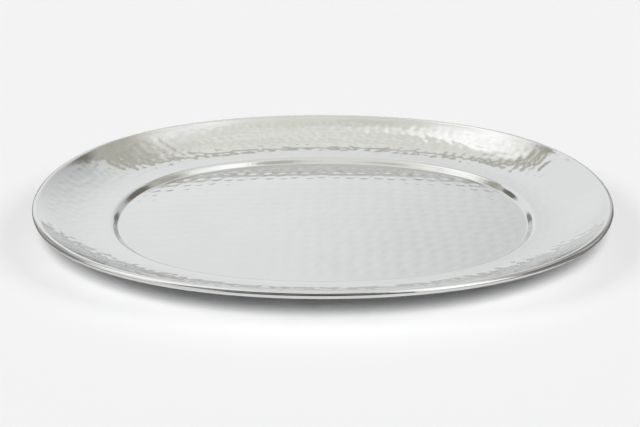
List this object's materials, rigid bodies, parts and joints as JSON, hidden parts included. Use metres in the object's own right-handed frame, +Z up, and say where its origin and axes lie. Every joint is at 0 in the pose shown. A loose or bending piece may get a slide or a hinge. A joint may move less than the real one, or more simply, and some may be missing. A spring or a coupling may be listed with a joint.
{
  "type": "serving tray",
  "caption": "Oval serving tray of polished hammered stainless steel: flat well, low step, wide dished rim and a wired, rolled edge. Holds food or glasses for serving.",
  "frame": {"origin": "under the middle of the well, on the surface the tray stands on", "axes": "+X along the long axis of the oval, +Y along the short axis, +Z up, out of the well"},
  "size_m": [0.457, 0.356, 0.0274],
  "materials": {
    "polished_steel": "mirror-polished stainless steel with overlapping hammer marks on the well and rim, smooth on the step and rolled edge",
    "wire_steel": "plain drawn steel wire"
  },
  "bodies": {
    "root": {"tray_sheet": "polished_steel", "rim_wire": "wire_steel"}
  },
  "joints": []
}
